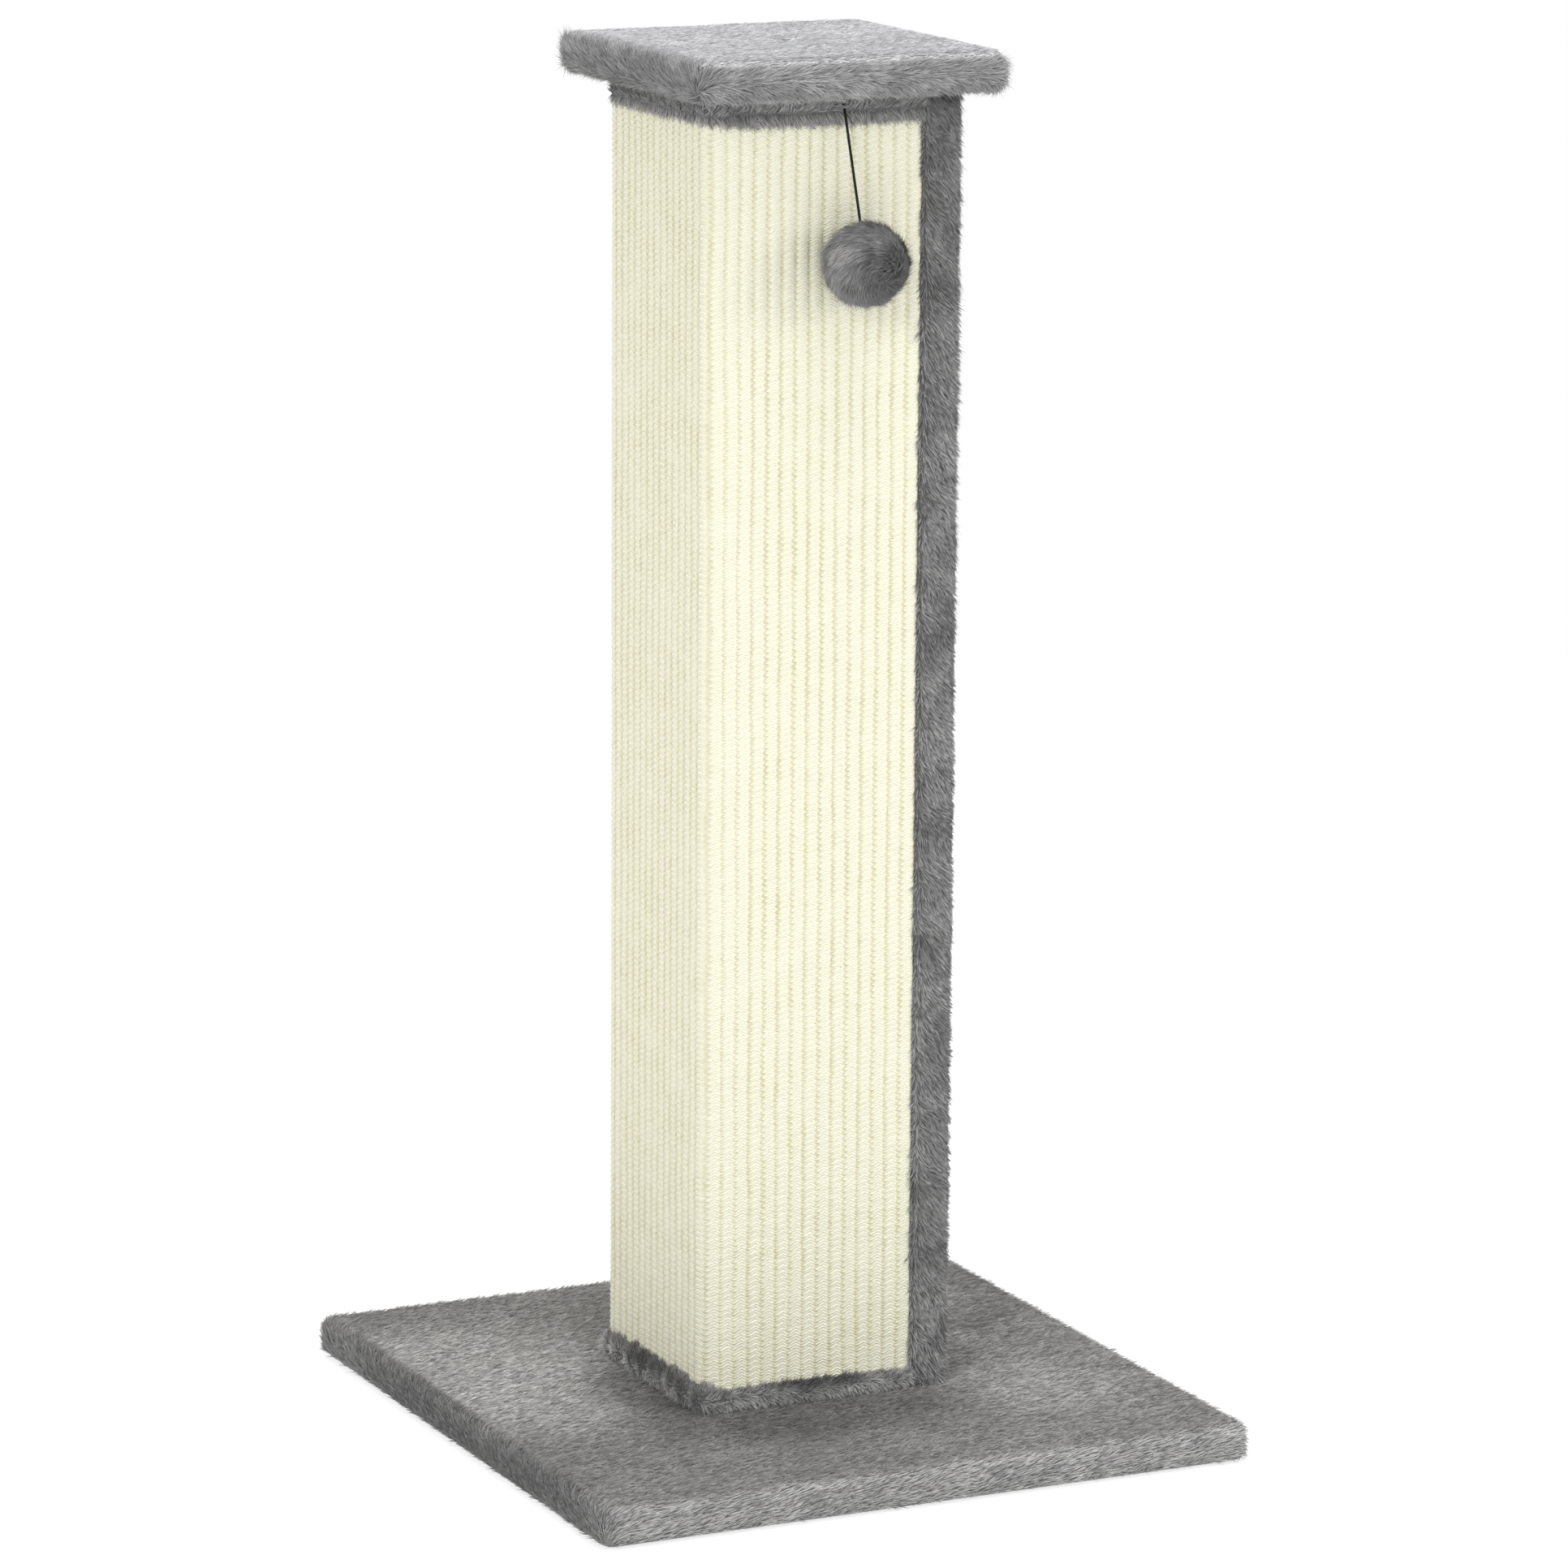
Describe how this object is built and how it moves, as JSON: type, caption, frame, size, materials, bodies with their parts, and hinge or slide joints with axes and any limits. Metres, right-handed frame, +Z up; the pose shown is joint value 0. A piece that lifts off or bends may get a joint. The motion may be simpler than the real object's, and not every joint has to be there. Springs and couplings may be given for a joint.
{
  "type": "cat scratching post",
  "caption": "Tall square cat scratching post on a plush base, wrapped in ribbed sisal with a plush side, a small plush platform on top and a ball hanging on a cord.",
  "frame": {"origin": "middle of the base's footprint, on the floor", "axes": "+Z up along the post, +X to the right along the front face, -Y the way the front face looks"},
  "size_m": [0.398, 0.417, 0.7923],
  "materials": {
    "base_plush": "short-pile grey plush",
    "top_plush": "short-pile light grey plush",
    "trim_plush": "short-pile grey plush",
    "ball_plush": "short-pile dark grey plush",
    "sisal": "woven ribbed sisal, off-white",
    "board": "raw particle board",
    "steel": "zinc plated",
    "cord": "braided black elastic cord",
    "wadding": "loose white wadding"
  },
  "bodies": {
    "stand": {"base_board": "board", "base_plush_cover": "base_plush", "base_bolt_1": "steel", "base_bolt_2": "steel", "base_bolt_3": "steel", "base_bolt_4": "steel", "base_t_nut_1": "steel", "base_t_nut_2": "steel", "base_t_nut_3": "steel", "base_t_nut_4": "steel", "post_panel_front": "board", "post_panel_back": "board", "post_panel_left": "board", "post_panel_right": "board", "post_bottom_plate": "board", "post_top_plate": "board", "top_t_nut": "steel", "sisal_wrap": "sisal", "plush_spine": "trim_plush", "top_band": "trim_plush", "bottom_band": "trim_plush", "top_board": "board", "top_plush_cover": "top_plush", "top_bolt": "steel", "toy_staple": "steel", "cord_tail": "cord"},
    "swing_knot": {"cord_knot": "cord"},
    "hanging_cord": {"toy_cord": "cord"},
    "ball": {"cord_end_knot": "cord", "ball_core": "wadding", "ball_plush_cover": "ball_plush"}
  },
  "joints": [
    {"name": "toy_swing_side", "type": "hinge", "parent": "stand", "child": "swing_knot", "pos_m": [0.0052, -0.06925, 0.7632], "axis": [0, 1, 0], "range_deg": [-70, 70]},
    {"name": "toy_swing_out", "type": "hinge", "parent": "swing_knot", "child": "hanging_cord", "pos_m": [0.0052, -0.06925, 0.7632], "axis": [-1, 0, 0], "range_deg": [0, 75]},
    {"name": "cord_stretch", "type": "slide", "parent": "hanging_cord", "child": "ball", "axis": [0.054, -0.225, -0.9729], "range_m": [0, 0.04], "stiffness_N_per_m": 40, "springref_m": -0.01}
  ]
}
